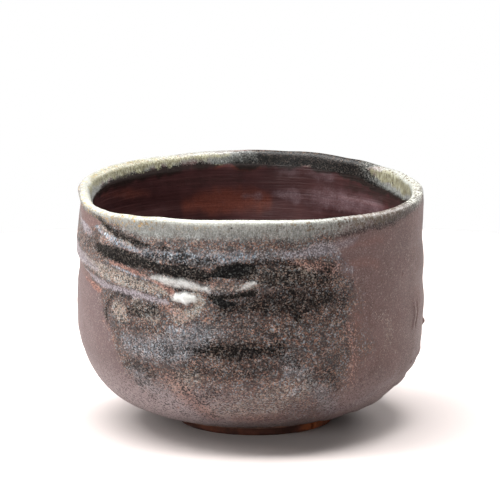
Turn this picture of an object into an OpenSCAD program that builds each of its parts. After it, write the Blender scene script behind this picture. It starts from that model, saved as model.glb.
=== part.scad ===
// A tea bowl: a thrown clay body on a luted foot ring, under three fired glaze coats.
// Millimetres. +Z is up, the front is -Y, and the origin is on the table under the wall's axis.
// Angles on the wall are azimuths: 0 at the front, positive towards +X.

/* [Bowl] */
// Outer diameter of the glazed wall
wall_d = 120; // [110:1:135]
// Height from the table to the top of the lip
bowl_h = 82; // [74:1:90]
// Thickness of the lip over both glazes
lip_t = 4; // [3.4:0.1:5]
// Thickness of the wall at the hip, over both glazes
wall_t = 5; // [4.6:0.1:6]

/* [Hip and floor] */
// Radius of the outer curve from the wall to the underside
hip_r = 30; // [24:1:32]
// Radius of the inner curve from the wall to the floor
inner_hip_r = 23; // [18:1:25]
// Slope of the underside between the hip and the foot, in degrees
under_slope = 14; // [10:1:18]
// Height of the glazed floor above the table
floor_z = 12; // [11:0.5:16]
// Radius of the shallow pool in the middle of the floor
pool_r = 20; // [14:1:26]
// Depth of that pool
pool_depth = 1.2; // [0.4:0.2:2]

/* [Foot ring] */
// Outer diameter of the foot ring
foot_d = 55; // [48:1:60]
// Width of the ring's clay
foot_t = 6; // [4:0.5:8]
// Height of the ring at its seat under the body
foot_h = 4; // [3.5:0.5:5]
// How far the ring sits off the wall's axis, along X
foot_offset = 2; // [0:0.5:3]
// Depth of the cut in the body inside the ring
recess_depth = 1.4; // [1:0.2:2]

/* [Glaze] */
// Thickness of the outer and inner coats
glaze_t = 0.7; // [0.5:0.1:1]
// Depth of the pale rim coat below the lip, outside
rim_band_out = 11; // [8:1:14]
// Depth of the rim coat below the lip, inside
rim_band_in = 6; // [4:1:10]
// Bare clay left between the foot ring and the outer coat
bare_gap = 1.5; // [1:0.5:3]

/* [Hidden] */
$fn = 96;

wall_r = wall_d / 2;
foot_r = foot_d / 2;
recess_r = foot_r - foot_t;
foot_chamfer = 0.8;
lip_r = lip_t / 2;
band_z = bowl_h - rim_band_out;
inner_band_z = bowl_h - rim_band_in;
arc_steps = 14;
cap_steps = 8;

// The hip's centre, set so that the bare underside meets the foot ring at its seat.
hip_x = wall_r - hip_r;
bare_r = hip_r - glaze_t;
hip_z = foot_h + bare_r * cos(under_slope)
    + (hip_x + bare_r * sin(under_slope) - foot_r) * tan(under_slope);
inner_hip_x = wall_r - wall_t - inner_hip_r;
inner_hip_z = floor_z + inner_hip_r;
lip_x = wall_r - lip_r;
lip_z = bowl_h - lip_r;
// Radius of the sphere that the pool is cut with.
pool_sphere = (pow(pool_r, 2) + pow(pool_depth, 2)) / (2 * pool_depth);
// The outer coat starts this far out from the wall's axis.
glaze_line_r = foot_r + foot_offset + bare_gap;

// Raised runs of pale ash glaze: [start azimuth, end azimuth, height, half width, how proud].
ash_run_list = [
    [-30, -16, 60.5, 1.5, 0.5],
    [-26, -18, 55.5, 1.9, 0.9],
    [-3, 1, 60.5, 1.1, 0.5],
];
// Pools of black iron glaze, in the same form.
iron_pool_list = [
    [-11, -2, 66, 1.8, 0.4],
    [-11, 0, 55.5, 1.6, 0.4],
];
// Stones that burst through the glaze: [azimuth, height, radius at the wall, how proud].
grit_list = [
    [88, 35, 1.4, 0.7],
    [62, 58, 0.7, 0.3],
    [52, 33, 0.8, 0.3],
    [41, 46, 0.7, 0.3],
    [128, 50, 1.0, 0.4],
    [205, 41, 1.2, 0.5],
];

function arc(x, z, r, from, to) = [
    for (i = [0:arc_steps])
        let (a = from + (to - from) * i / arc_steps)
        [x + r * cos(a), z + r * sin(a)]
];
function backwards(points) = [for (i = [len(points) - 1:-1:0]) points[i]];

// Height of the underside at a radius, at a depth below the finished surface.
function underside_z(r, depth) =
    hip_z - (hip_r - depth) * cos(under_slope)
    - (hip_x + (hip_r - depth) * sin(under_slope) - r) * tan(under_slope);

// The outside from a radius on the underside up to a height on the wall.
function outer_line(depth, start_r, end_z) = concat(
    [[start_r, underside_z(start_r, depth)]],
    arc(hip_x, hip_z, hip_r - depth, under_slope - 90, 0),
    [[wall_r - depth, end_z]]
);

// Radius of the inner wall at a height: it leans out a little from the hip to the lip.
function inner_wall_r(z) =
    wall_r - wall_t + (wall_t - lip_t) * (z - inner_hip_z) / (lip_z - inner_hip_z);

// The inside from a height on the wall down to the centre of the pool.
function inner_line(depth, start_z) = concat(
    [[inner_wall_r(start_z) + depth, start_z]],
    arc(inner_hip_x, inner_hip_z, inner_hip_r + depth, 0, -90),
    [
        for (i = [arc_steps:-1:0])
            let (r = pool_r * i / arc_steps)
            [r, floor_z - depth - pool_depth + pool_sphere - sqrt(pow(pool_sphere, 2) - r * r)]
    ]
);

// The lip from the outside to the inside, between two heights.
function lip_line(depth, outer_z, inner_z) = concat(
    [[wall_r - depth, outer_z]],
    arc(lip_x, lip_z, lip_r - depth, 0, 180),
    [[inner_wall_r(inner_z) + depth, inner_z]]
);

module revolve(points) {
    rotate_extrude() polygon(points);
}

// One coat between the finished surface and the clay under it.
module coat(finished, under) {
    revolve(concat(finished, backwards(under)));
}

// The cut inside the foot ring, with the low button that trimming leaves at its centre.
module recess() {
    translate([foot_offset, 0, 0])
        revolve([
            [0, foot_h - 1],
            [recess_r, foot_h - 1],
            [recess_r, foot_h + recess_depth / 2],
            [recess_r / 3, foot_h + recess_depth],
            [0, foot_h + recess_depth / 2],
        ]);
}

module bare_clay() {
    revolve(concat(
        [[0, underside_z(foot_r, glaze_t)]],
        outer_line(glaze_t, foot_r, band_z),
        lip_line(glaze_t, band_z, inner_band_z),
        inner_line(glaze_t, inner_band_z)
    ));
}

// The edge of a low cap: [distance along the wall, distance out], from one side to the other.
function cap_edge(half_w, proud, from_share) =
    let (
        r = (pow(half_w, 2) + pow(proud, 2)) / (2 * proud),
        reach = asin(half_w / r)
    )
    [
        for (i = [0:cap_steps])
            let (a = reach * (from_share + (1 - from_share) * i / cap_steps))
            [r * sin(a), proud - r + r * cos(a)]
    ];

// A low bead of glaze that follows the wall round, between two azimuths.
module bead(from, to, z, half_w, proud) {
    rotate([0, 0, from - 90])
        rotate_extrude(angle = to - from)
            polygon([for (p = cap_edge(half_w, proud, -1)) [wall_r + p[1], z + p[0]]]);
}

// A low round cap on the wall.
module cap(azimuth, z, half_w, proud) {
    rotate([0, 0, azimuth - 90])
        translate([wall_r, 0, z])
            rotate([0, 90, 0])
                revolve(concat([[0, 0]], backwards(cap_edge(half_w, proud, 0))));
}

module clay_body() {
    color([0.42, 0.30, 0.25])
        difference() {
            bare_clay();
            recess();
        }
}

module foot_ring() {
    color([0.36, 0.20, 0.12])
        difference() {
            translate([foot_offset, 0, 0])
                revolve([
                    [recess_r + foot_chamfer, 0],
                    [foot_r - foot_chamfer, 0],
                    [foot_r, foot_chamfer],
                    [foot_r, foot_h + foot_offset],
                    [recess_r, foot_h + foot_offset],
                    [recess_r, foot_chamfer],
                ]);
            bare_clay();
        }
}

module outer_glaze() {
    color([0.40, 0.33, 0.32])
        coat(
            outer_line(0, glaze_line_r, band_z),
            outer_line(glaze_t, glaze_line_r, band_z)
        );
}

module inner_glaze() {
    color([0.25, 0.12, 0.10])
        coat(inner_line(0, inner_band_z), inner_line(glaze_t, inner_band_z));
}

module rim_glaze() {
    color([0.74, 0.76, 0.70])
        coat(
            lip_line(0, band_z, inner_band_z),
            lip_line(glaze_t, band_z, inner_band_z)
        );
}

module ash_runs() {
    color([0.85, 0.84, 0.78])
        for (run = ash_run_list)
            bead(run[0], run[1], run[2], run[3], run[4]);
}

module iron_pools() {
    color([0.06, 0.05, 0.05])
        for (pool = iron_pool_list)
            bead(pool[0], pool[1], pool[2], pool[3], pool[4]);
}

module stone_grits() {
    color([0.50, 0.40, 0.38])
        for (grit = grit_list)
            cap(grit[0], grit[1], grit[2], grit[3]);
}

clay_body();
foot_ring();
outer_glaze();
inner_glaze();
rim_glaze();
ash_runs();
iron_pools();
stone_grits();
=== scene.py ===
import itertools
import math

import bpy
import numpy as np
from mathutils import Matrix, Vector


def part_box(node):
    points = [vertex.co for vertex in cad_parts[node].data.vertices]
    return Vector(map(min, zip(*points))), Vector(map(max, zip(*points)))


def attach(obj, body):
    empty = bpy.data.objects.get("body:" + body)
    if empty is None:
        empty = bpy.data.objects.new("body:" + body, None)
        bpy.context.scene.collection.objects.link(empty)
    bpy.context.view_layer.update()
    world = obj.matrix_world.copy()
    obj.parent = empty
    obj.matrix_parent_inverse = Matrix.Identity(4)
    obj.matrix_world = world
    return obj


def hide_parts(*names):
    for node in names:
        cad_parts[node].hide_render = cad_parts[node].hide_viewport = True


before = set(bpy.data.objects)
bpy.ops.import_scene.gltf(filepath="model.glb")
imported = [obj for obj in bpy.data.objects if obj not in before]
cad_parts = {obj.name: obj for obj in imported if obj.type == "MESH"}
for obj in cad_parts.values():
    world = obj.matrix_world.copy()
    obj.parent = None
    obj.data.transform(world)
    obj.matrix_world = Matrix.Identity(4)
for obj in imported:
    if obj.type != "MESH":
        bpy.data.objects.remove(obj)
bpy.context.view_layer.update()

# A tea bowl: a thrown wall that is a little out of round, a luted foot ring, and glaze that ran and pooled
# in the kiln. Everything is built in millimetres and handed to Blender in metres. Angles on the wall are
# azimuths in degrees: 0 at the front (-Y), positive towards +X. Places along the finished surface are "s":
# it is the height above the table on the upright wall, and it runs on below the hip and over the lip.

MM = 0.001
TURN = 2 * math.pi


def node_box(node):
    low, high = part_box(node)
    return np.array(low) / MM, np.array(high) / MM


WALL_R = node_box("outer_glaze")[1][0]
BOWL_H = node_box("rim_glaze")[1][2]
FOOT_LOW, FOOT_HIGH = node_box("foot_ring")
FOOT_R = (FOOT_HIGH[0] - FOOT_LOW[0]) / 2
FOOT_X = (FOOT_HIGH[0] + FOOT_LOW[0]) / 2

# These repeat the CAD model's own dimensions, which a box doesn't show.
HIP_R = 30.0
INNER_HIP_R = 23.0
LIP_R = 2.0
WALL_T = 5.0
GLAZE_T = 0.7
UNDER_SLOPE = math.radians(14)
FOOT_H = 4.0
FOOT_T = 6.0
RECESS_R = FOOT_R - FOOT_T
RECESS_DEPTH = 1.4
FLOOR_Z = 12.0
POOL_R = 20.0
POOL_DEPTH = 1.2
GLAZE_LINE_R = FOOT_R + FOOT_X + 1.5

HIP_X = WALL_R - HIP_R
BARE_R = HIP_R - GLAZE_T
HIP_Z = FOOT_H + BARE_R * math.cos(UNDER_SLOPE) + (
    HIP_X + BARE_R * math.sin(UNDER_SLOPE) - FOOT_R
) * math.tan(UNDER_SLOPE)
LIP_Z = BOWL_H - LIP_R


# ---- noise and curves

def smooth(x):
    x = np.clip(x, 0, 1)
    return x * x * (3 - 2 * x)


def lattice_noise(points, size, seed):
    """Smooth noise from -1 to 1 at points in millimetres, with features about `size` millimetres wide."""
    cells = 32
    values = np.random.default_rng(seed).uniform(-1, 1, (cells, cells, cells))
    p = points / size
    base = np.floor(p).astype(int)
    f = smooth(p - base)
    total = 0
    for corner in itertools.product((0, 1), repeat=3):
        near = [f[..., k] if one else 1 - f[..., k] for k, one in enumerate(corner)]
        cell = tuple((base[..., k] + one) % cells for k, one in enumerate(corner))
        total = total + near[0] * near[1] * near[2] * values[cell]
    return total


def columns_of(rows):
    return [np.array(column, float) for column in zip(*rows)]


def table(azimuth, rows):
    """A value that changes smoothly round the bowl, from rows of (azimuth, value)."""
    az, values = columns_of(rows)
    az = np.concatenate([az - 360, az, az + 360])
    values = np.concatenate([values, values, values])
    at = np.asarray(azimuth, float)
    k = np.clip(np.searchsorted(az, at) - 1, 0, len(az) - 2)
    share = smooth((at - az[k]) / (az[k + 1] - az[k]))
    return values[k] + (values[k + 1] - values[k]) * share


# ---- the section of the bowl

def arc(cx, cz, radius, start, end, steps):
    a = np.radians(np.linspace(start, end, steps))
    return np.stack([cx + radius * np.cos(a), cz + radius * np.sin(a)], 1)


def line(a, b, steps):
    return np.array(a) + (np.array(b) - np.array(a)) * np.linspace(0, 1, steps)[:, None]


def section_curve():
    """The finished surface from the glaze line, over the lip and down to the floor's centre."""
    slope = math.degrees(UNDER_SLOPE)
    hip = arc(HIP_X, HIP_Z, HIP_R, slope - 90, 0, 120)
    start_z = hip[0][1] - (hip[0][0] - GLAZE_LINE_R) * math.tan(UNDER_SLOPE)
    lip = arc(WALL_R - LIP_R, LIP_Z, LIP_R, 0, 180, 40)
    inner_hip_z = FLOOR_Z + INNER_HIP_R
    inner_hip = arc(WALL_R - WALL_T - INNER_HIP_R, inner_hip_z, INNER_HIP_R, 0, -90, 100)
    pool = line([POOL_R, FLOOR_Z], [0, FLOOR_Z], 60)
    pool[:, 1] -= POOL_DEPTH * (1 - (pool[:, 0] / POOL_R) ** 2)
    under = line([GLAZE_LINE_R, start_z], hip[0], 20)
    parts = [
        under, hip, line(hip[-1], lip[0], 90), lip, line(lip[-1], inner_hip[0], 90), inner_hip,
        line(inner_hip[-1], pool[0], 24),
    ]
    points = np.concatenate([part[:-1] for part in parts] + [pool])
    run = np.concatenate([[0], np.cumsum(np.linalg.norm(np.diff(points, axis=0), axis=1))])
    at_hip = run[len(under) + len(hip) - 2]
    s = run - at_hip + HIP_Z
    along = np.gradient(points, run, axis=0)
    normal = np.stack([along[:, 1], -along[:, 0]], 1)
    normal /= np.linalg.norm(normal, axis=1)[:, None]
    return s, points, normal


CURVE_S, CURVE_P, CURVE_N = section_curve()
S_LOW = CURVE_S[0]
S_LIP_IN = LIP_Z + LIP_R * math.pi
# The last ring of vertices before the floor's centre.
S_END = CURVE_S[-1] - 0.6


def section(s):
    """Radius, height and the outward normal of the finished surface at s."""
    r, z, nr, nz = (np.interp(s, CURVE_S, column) for column in (*CURVE_P.T, *CURVE_N.T))
    length = np.hypot(nr, nz)
    return r, z, nr / length, nz / length


def around(azimuth, r, z):
    a = np.radians(azimuth)
    return np.stack([r * np.sin(a), -r * np.cos(a), np.broadcast_to(z, np.shape(r * a))], -1)


# ---- the hand-made shape

# Rows of (height, left, right): how far the wall stands out at the left (-X) and at the right (+X).
WALL_RIDGES = [
    (0, 0, 0), (12, 0.1, 0.6), (17.5, -0.2, -0.7), (20.5, -0.4, 0.9), (26, -0.7, 0.1), (33, -0.2, -0.3),
    (42, 0.1, 0.5), (51, -0.1, -0.3), (57, -1, 0), (60, -0.5, -0.2), (65, 0.4, -0.8), (71, -1, -0.6),
    (77, -2.6, -0.4), (82, -1.2, -0.3),
]
# Rows of (azimuth, millimetres): the lip dips at both sides towards the front and rises at the back.
RIM_WAVE = [
    (-180, 1.9), (-165, 1.6), (-150, 1.1), (-130, 0.7), (-110, 0), (-90, -1.8), (-75, -2.9), (-60, -2.5),
    (-45, -1.4), (-30, -0.2), (0, 0.6), (30, -0.2), (60, -1.1), (90, -0.8), (105, -0.7), (125, 0),
    (140, 0.9), (160, 1.7),
]
# Rows of (azimuth, millimetres): how far the plan is out of round at the lip, squarer at the back.
OUT_OF_ROUND = [
    (-180, 0), (-152, 1), (-134, 2.5), (-118, 3.1), (-103, 2.5), (-88, 1), (-68, 0), (0, 0), (90, 0.2),
    (104, 1.2), (118, 1.4), (150, 0.4),
]
# Rows of (azimuth, millimetres): how much was trimmed off the underside of the hip.
TRIMMED = [(-180, 0.1), (-90, -0.2), (-50, 0), (35, 0.1), (62, 0.4), (90, 0.5), (115, 0.4), (145, 0.1)]
# Below this height the wall isn't lifted by the wave of the lip.
STEADY_Z = 38


def wall_ridge(azimuth, z):
    heights, left, right = columns_of(WALL_RIDGES)
    left = np.interp(z, heights, left)
    right = np.interp(z, heights, right)
    share = (1 + np.sin(np.radians(azimuth))) / 2
    return left + (right - left) * share


def warp(points):
    """Moves ideal points to where the hand-made bowl has them; the foot stays flat on the table."""
    x, y, z = points[..., 0], points[..., 1], points[..., 2]
    r = np.hypot(x, y)
    azimuth = np.degrees(np.arctan2(x, -y))
    off_the_foot = smooth(z / 40) * smooth(r / 40)
    squareness = table(azimuth, OUT_OF_ROUND) * smooth((z - 60) / 21)
    three_sided = 0.35 * np.cos(np.radians(3 * azimuth + 20)) * z / BOWL_H
    uneven = 0.5 * lattice_noise(points, 34, 11)
    outward = off_the_foot * (wall_ridge(azimuth, z) + squareness + three_sided + uneven)
    lean = 0.8 * (1 - smooth(z / 45)) * smooth((z - 1) / 8)
    trimmed = 0.8 * table(azimuth, TRIMMED) * smooth((r - 30) / 14) * (1 - smooth((z - 10) / 16))
    scale = (r + outward - trimmed) / np.maximum(r, 1e-6)
    rise = np.clip((z - STEADY_Z) / (BOWL_H - STEADY_Z), 0, 1) ** 2 * smooth(r / 30)
    lift = table(azimuth, RIM_WAVE) * rise
    return np.stack([x * scale + lean, y * scale, z + lift + trimmed], -1)


# ---- the glaze pattern

# Strokes of each glaze colour; some lilac, ember, flush and haze strokes paint highlights, sheen or shadow
# rather than glaze. A stroke is its strength, its soft edge in millimetres, and its points (azimuth, s, half
# width). Where strokes of one colour cross, the stronger one shows.
PATTERN = {}
PATTERN["iron"] = [
    (0.9, 1.6, [(-62, 68.2, 1.5), (-56, 67.8, 2.3), (-50, 67.3, 2.2), (-45, 66.7, 2.5), (-40, 66.3, 2.6),
        (-33, 65.3, 2.1), (-22, 64.2, 2.3), (-14, 63.2, 1.9)]),
    (0.8, 1.6, [(-76, 81.2, 0.4), (-70, 80.4, 0.7), (-62, 78, 1.3), (-57, 76.1, 1.5), (-51, 74.8, 1.4),
        (-45, 73.5, 1), (-38, 72.1, 1.2), (-30, 71.6, 1), (-22, 71, 0.5)]),
    (0.45, 3, [(-80, 67.5, 1.2), (-72, 68.5, 2), (-64, 68.8, 3), (-58, 67.5, 3)]),
    (0.6, 1.5, [(-37, 68.3, 1.6), (-25, 68.2, 2), (-12, 68.4, 1.4)]),
    (0.62, 0.9, [(-29, 58.9, 0.3), (-24, 58, 0.5), (-18, 57.4, 0.4)]),
    (0.9, 1.6, [(-14, 63.5, 1.2), (-10, 64.4, 2.2), (-4, 65, 3), (0, 66, 2)]),
    (0.6, 2, [(2, 67.4, 1.5), (10, 68, 1.6), (16, 66.4, 1.2)]),
    (0.95, 1, [(-13, 55.8, 0.9), (-6.6, 56.3, 1.3), (1.7, 57.7, 1)]),
    (0.7, 6, [(-9, 52.5, 3), (4, 53.5, 4), (10, 54, 4.5), (18, 54, 5), (25, 55, 4.5)]),
    (0.64, 5, [(-4, 62.5, 1), (1, 63.5, 2.5), (8, 63, 3.5), (16, 62, 4), (24, 61.5, 4), (28, 66, 1.5)]),
    (0.8, 2.5, [(13.5, 58, 1), (14, 53, 1.6), (16, 48, 0.8)]),
    (0.55, 7, [(26, 57, 3.5), (31, 53, 3.5), (28, 49, 2)]),
    (0.36, 6, [(-10, 48, 3), (0, 47, 4), (9, 44, 4), (20, 48, 3), (31, 48, 3)]),
    (0.85, 2.6, [(182, 87, 1), (195, 88.2, 1.2), (210, 88.4, 1.8), (240, 89.3, 2), (262, 90.5, 1.6)]),
    (0.4, 5, [(214, 93, 1.5), (200, 93.5, 2.2), (184, 93, 1.5)]),
    (0.6, 4, [(108, 95, 2), (118, 94.5, 2.4), (130, 94, 2.2), (142, 93.6, 1.5)]),
    (0.95, 1.5, [(96, 92, 1), (112, 92, 1.4), (124, 91.4, 2), (133, 89.6, 3), (142, 87.5, 3),
        (150, 86.5, 2.5)]),
    (0.95, 2.5, [(127, 82.6, 0.4), (138, 84.6, 3.2), (150, 85.5, 3.8), (165, 86, 3.8), (180, 86.6, 3),
        (194, 87.2, 1.5)]),
    (0.62, 3, [(28, 75.6, 0.6), (42, 77.4, 1.6), (52, 78.4, 1.8), (62, 79.4, 1.8), (74, 80.2, 0.8)]),
    (0.8, 7.5, [(-17.5, 37, 3.2), (-8, 37.4, 4), (2, 37.8, 3.8), (9, 38.4, 2.8)]),
    (0.5, 2.5, [(11, 34, 1.6), (16, 33, 2)]),
    (0.45, 7, [(-19, 30.2, 3.2), (-8, 30, 4), (1, 31, 3), (8, 32, 2)]),
    (0.35, 3, [(-13, 22, 3), (-17, 18, 2)]),
    (0.5, 1.6, [(-47, 28, 1.6), (-42, 30, 1.8), (-36, 27, 2.5)]),
    (0.5, 1.6, [(-43, 22.2, 1.6), (-38, 24, 1.8)]),
    (0.4, 2.5, [(20, 28, 3), (26, 27, 3), (30, 22, 2)]),
    (0.22, 5, [(40, 58, 2), (44, 50, 2)]),
    (0.22, 4, [(46, 26, 1.5), (40, 22, 2)]),
    (0.6, 2, [(-43, 52.6, 0.6), (-50, 53, 1.1), (-54, 50, 1.1), (-56, 46, 1.2), (-54.5, 42, 1.1),
        (-50, 40, 0.5)]),
    (0.6, 2, [(-42, 48.5, 3), (-33, 50, 2.5)]),
    (0.4, 3, [(-46, 43.5, 2), (-36, 43.5, 2), (-28, 42.5, 1.6)]),
]
PATTERN["pool"] = [
    (1.1, 0.9, [(-13.5, 62.9, 0.3), (-10.5, 63.9, 1.3), (-7.2, 64.5, 2.1), (-4.4, 65.1, 2.3),
        (-1.4, 66.3, 1.4)]),
    (1.1, 1.1, [(-11.5, 54.8, 0.8), (-8, 53.8, 1.5), (-5, 54, 1)]),
]
PATTERN["frost"] = [
    (0.95, 0.9, [(-68, 75.6, 0.4), (-57, 73.2, 0.8), (-50, 71.6, 0.9)]),
    (0.6, 0.9, [(-50, 71.6, 0.9), (-43, 70.2, 0.7), (-36, 68.8, 0.5)]),
    (1, 0.6, [(-52, 63, 0.3), (-45, 61.9, 0.45), (-38, 60.5, 0.45), (-32, 59.2, 0.4), (-27, 58.2, 0.3)]),
    (0.7, 1.6, [(-36, 69.3, 1.4), (-25, 69.3, 1.7), (-15, 69.3, 1.6), (-6, 69.8, 1.3), (1, 70.5, 1)]),
    (0.4, 1.4, [(11, 70.6, 1.4), (20, 70.6, 1.8), (28, 71, 1.4)]),
    (0.4, 3.5, [(-46, 38, 3), (-36, 37, 4), (-26, 37.5, 4.5), (-17, 39, 3), (-18, 45, 2.5)]),
    (0.4, 2, [(28, 71, 2), (30, 66.5, 2.5), (35, 64, 1.5)]),
    (0.6, 0.8, [(12, 28.5, 1.2)]),
    (0.4, 2, [(16, 24, 1.6), (14, 21, 1.2)]),
    (0.5, 1.5, [(-26, 43.5, 2.2), (-22, 44, 1.6)]),
]
PATTERN["cool"] = [
    (0.6, 8, [(-46, 36, 2), (-38, 36, 4), (-28, 37, 6), (-18, 41, 5), (-10, 44, 2)]),
    (0.55, 8, [(-42, 26, 3), (-36, 20, 4), (-30, 14, 4), (-24, 9, 3)]),
    (0.6, 4, [(-38, 69.5, 2), (-20, 69.5, 2.5), (0, 70.5, 1.5), (14, 71, 1.5), (26, 72, 2)]),
    (0.5, 5, [(-12, 58, 1.5), (-2, 57, 1)]),
    (0.5, 5, [(12, 33, 3), (22, 24, 3), (30, 14, 4), (34, 8, 4)]),
]
PATTERN["pepper"] = [
    (0.42, 6, [(-26, 26, 3), (-20, 18, 4), (-15, 10, 4)]),
    (0.4, 5, [(-40, 36, 3), (-28, 36, 4), (-18, 34, 4)]),
    (0.5, 3, [(-34, 69, 1.5), (-22, 69, 1.8), (-10, 69.5, 1.2)]),
    (0.36, 6, [(0, 30, 3), (10, 40, 4), (24, 40, 5), (28, 26, 4)]),
    (0.45, 5, [(2, 66, 2), (14, 65, 3), (26, 64, 3), (34, 58, 3)]),
    (0.4, 3, [(-60, 64, 1.5), (-48, 60, 2), (-34, 56, 1.5)]),
    (0.3, 6, [(-44, 22, 3), (-34, 14, 3), (-22, 4, 3)]),
    (0.35, 3, [(-50, 46, 4)]),
]
PATTERN["lilac_and_highlight"] = [
    (0.9, 1.4, [(-84, 58.8, 0.7), (-70, 56.8, 0.8), (-60, 55.6, 0.9), (-50, 54.8, 1), (-40, 54.2, 1),
        (-33, 53.6, 0.8), (-28, 52.8, 0.5)]),
    (0.35, 5, [(34, 8, 2), (48, 12, 3), (62, 22, 2)]),
    (0.6, 3, [(12, 70.5, 1.2), (20, 71.2, 2), (28, 72, 1.8), (38, 74, 0.8)]),
    # Painted highlight: pale lilac along the left edge of the wall, where it catches the light.
    (0.8, 3, [(-92, 64, 2), (-78, 62.5, 2.4), (-68, 61, 1.6), (-62, 60, 0.8)]),
    (0.75, 3, [(-95, 78, 3), (-84, 76, 3), (-75, 73, 2), (-70, 72, 0.6)]),
    # Painted highlight: the sheen on the inner slope of the lip at the back.
    (0.6, 1.4, [(148, 83.6, 0.4), (160, 83.8, 0.8), (172, 83.6, 0.4)]),
]
PATTERN["tan"] = [
    (0.6, 1.6, [(-86, 62.6, 1.6), (-70, 61.8, 1.9), (-60, 60.3, 2.4), (-50, 59.2, 2.6), (-40, 57.8, 2.2),
        (-34, 57.6, 2), (-27, 57, 1.2)]),
    (0.6, 0.9, [(-66, 76.9, 0.7), (-57, 74.8, 1), (-50, 72.8, 1), (-44, 72, 1)]),
    (0.7, 1.5, [(-18, 58, 1.6), (-16.5, 54, 2), (-18, 50.5, 1.8), (-22, 48.5, 2)]),
    (0.5, 1.8, [(-49, 47.6, 3.2), (-46, 46, 3)]),
    (0.45, 2.5, [(-40, 50, 3), (-33, 48, 3)]),
    (0.36, 6, [(-14, 12, 4), (-4, 13, 6), (8, 17, 7), (18, 24, 5)]),
    (0.45, 1.6, [(-12, 59.5, 1.4), (-4, 59.3, 1.4), (1, 60.5, 1.6)]),
    (0.4, 2.5, [(2, 63, 2.5), (10, 63.5, 3), (20, 64, 3)]),
    (0.4, 3, [(-26, 24, 4), (-20, 27, 4)]),
    (0.26, 6, [(46, 47, 2), (54, 41, 3), (50, 33, 2)]),
    (0.45, 2.5, [(-25, 51, 1), (-24, 46, 1)]),
]
PATTERN["ember_and_shadow"] = [
    (0.9, 0.8, [(-53, 64.4, 0.4), (-45, 63.2, 0.7), (-40, 62, 0.7), (-34, 60.2, 0.7), (-28, 58.2, 0.9),
        (-26, 56, 0.8)]),
    # Painted shadow: the pink-orange line under the lavender ridge at the left.
    (0.8, 1.2, [(-85, 57.6, 0.6), (-75, 55.8, 0.9), (-70, 54.7, 1), (-65, 53.4, 1), (-60, 52.2, 0.7)]),
    (0.36, 1.6, [(-30, 52, 0.8), (-26, 50.5, 1.2), (-21, 48, 1.4)]),
    (0.4, 2, [(14, 68, 1), (22, 66, 2.2), (29, 65, 2)]),
    (0.45, 1.2, [(-12, 60.5, 0.8), (-6, 58.8, 0.8)]),
    (0.9, 0.5, [(-29, 12.5, 0.5)]),
    (0.42, 6, [(-28, 26, 3), (-22, 17, 4), (-16, 9, 4)]),
    (0.4, 4, [(34, 44, 2), (37, 34, 2), (36, 24, 2)]),
    (0.36, 5, [(-6, 8, 3), (10, 8, 3)]),
    (0.5, 1, [(-58, 42.5, 0.6), (-52, 39, 0.6)]),
]
PATTERN["flush_and_shadow"] = [
    # Painted shadow: the pink-red line under the lavender ridge at the left.
    (1, 1.6, [(-84, 57.4, 0.6), (-74, 55.6, 1), (-66, 53.8, 1.1), (-58, 52, 0.8)]),
    (0.7, 4, [(37, 48, 1.5), (38, 38, 2.5), (35, 30, 2)]),
    (0.7, 3.5, [(36, 66, 1.5), (46, 64.5, 2)]),
    (0.6, 3, [(36, 72, 1.4), (50, 72.5, 1.6)]),
    (0.6, 4, [(26, 8, 2), (40, 5, 2.5)]),
    (0.7, 6, [(-12, 9, 3), (2, 9, 4), (14, 13, 3)]),
    (0.8, 4, [(-34, 17, 3), (-24, 21, 4), (-18, 14, 3.5)]),
]
PATTERN["lime"] = [
    (0.72, 2.6, [(-172, 85.6, 0.6), (-160, 85.4, 1.4), (-140, 85.4, 2), (-120, 85.6, 2.2),
        (-100, 86.2, 1.8)]),
    (0.7, 2.8, [(100, 87.5, 1.6), (112, 87.6, 2.6), (122, 87.2, 2.4), (131, 86.4, 1)]),
]
PATTERN["haze_and_sheen"] = [
    # Mauve-grey haze on the back wall inside, partly a painted sheen.
    (0.75, 2.5, [(182, 99.5, 0.8), (176, 99.5, 1.2)]),
    (0.8, 3, [(171, 98.5, 1.4), (163, 99.5, 2)]),
    (0.6, 7, [(156, 99.5, 3), (142, 99.5, 4), (126, 99, 3)]),
    # Painted sheen: the grey streak just under the lip at the back right.
    (0.5, 3, [(170, 90.2, 0.8), (158, 90.8, 1.4), (148, 91.4, 1.2)]),
]
PATTERN["rust"] = [
    (0.85, 6, [(174, 101, 3), (190, 101, 4), (204, 102, 2.5)]),
    (0.5, 5, [(246, 92, 1), (232, 94, 1.6), (220, 96, 1)]),
    (0.8, 1.5, [(193, 89, 0.5), (176, 89, 0.6)]),
]
PATTERN["white"] = [
    (0.68, 2.4, [(-38, 61, 0.4), (-33, 61, 0.9), (-28, 60.6, 1), (-23, 60.2, 1), (-18, 59.4, 1.1),
        (-14.5, 58.7, 0.6)]),
    (1, 2.2, [(-24.4, 55, 1), (-21.5, 55.2, 2), (-18.6, 55.5, 1.4)]),
    (0.55, 1.4, [(-4.5, 58.7, 0.3), (-1.5, 59.8, 0.7), (1.3, 61.2, 0.8)]),
    (0.5, 2, [(-26, 55, 0.6), (-22, 55.2, 1.8), (-18, 55.6, 1.2)]),
]

# Rows of (azimuth, s): the lower edge of the pale band outside, and where it ends inside.
BAND_EDGE = [
    (-180, 74.5), (-140, 76), (-110, 79.5), (-90, 81), (-75, 81.6), (-65, 80), (-55, 76.9), (-45, 74.3),
    (-35, 73.4), (-25, 73.6), (-10, 74.5), (5, 74), (15, 73.4), (25, 74.8), (40, 76), (60, 78), (80, 79),
    (110, 77), (140, 73.5), (165, 73),
]
INNER_EDGE = [
    (-180, 87.6), (-150, 87), (-125, 87.5), (-100, 89.6), (-60, 90), (0, 90), (60, 89.5), (100, 91),
    (115, 91.5), (128, 90.6), (140, 88.6), (160, 88),
]
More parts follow.
